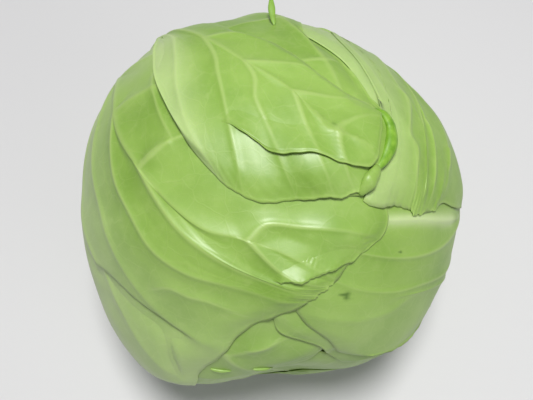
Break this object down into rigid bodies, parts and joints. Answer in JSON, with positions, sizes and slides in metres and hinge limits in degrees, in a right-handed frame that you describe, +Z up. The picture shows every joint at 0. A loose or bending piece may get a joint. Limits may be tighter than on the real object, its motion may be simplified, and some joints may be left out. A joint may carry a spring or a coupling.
{
  "type": "head cabbage",
  "caption": "Whole smooth-leaved green head cabbage lying on its side, with loose wrapper leaves over a dense head and a cut stump; food or kitchen set dressing.",
  "frame": {"origin": "on the floor plane, under the middle of the head's bounding box", "axes": "+Z up from the floor the head lies on; the head's own axis, from stump to apex, points 49 degrees from +X towards -Y and 26 degrees up"},
  "size_m": [0.2062, 0.2016, 0.1988],
  "materials": {
    "inner_leaf_tissue": "satin waxy pale green",
    "outer_leaf_tissue": "satin waxy yellow-green with paler ribs",
    "cut_stem": "matt pale, browned cut face"
  },
  "bodies": {
    "root": {"inner_head": "inner_leaf_tissue", "stem": "cut_stem", "lower_front_leaf": "inner_leaf_tissue", "inner_apex_leaf": "inner_leaf_tissue", "front_inner_leaf": "inner_leaf_tissue", "under_leaf": "outer_leaf_tissue", "apex_leaf": "outer_leaf_tissue", "left_leaf": "outer_leaf_tissue", "right_leaf": "outer_leaf_tissue", "side_leaf": "outer_leaf_tissue", "top_leaf": "outer_leaf_tissue"}
  },
  "joints": []
}
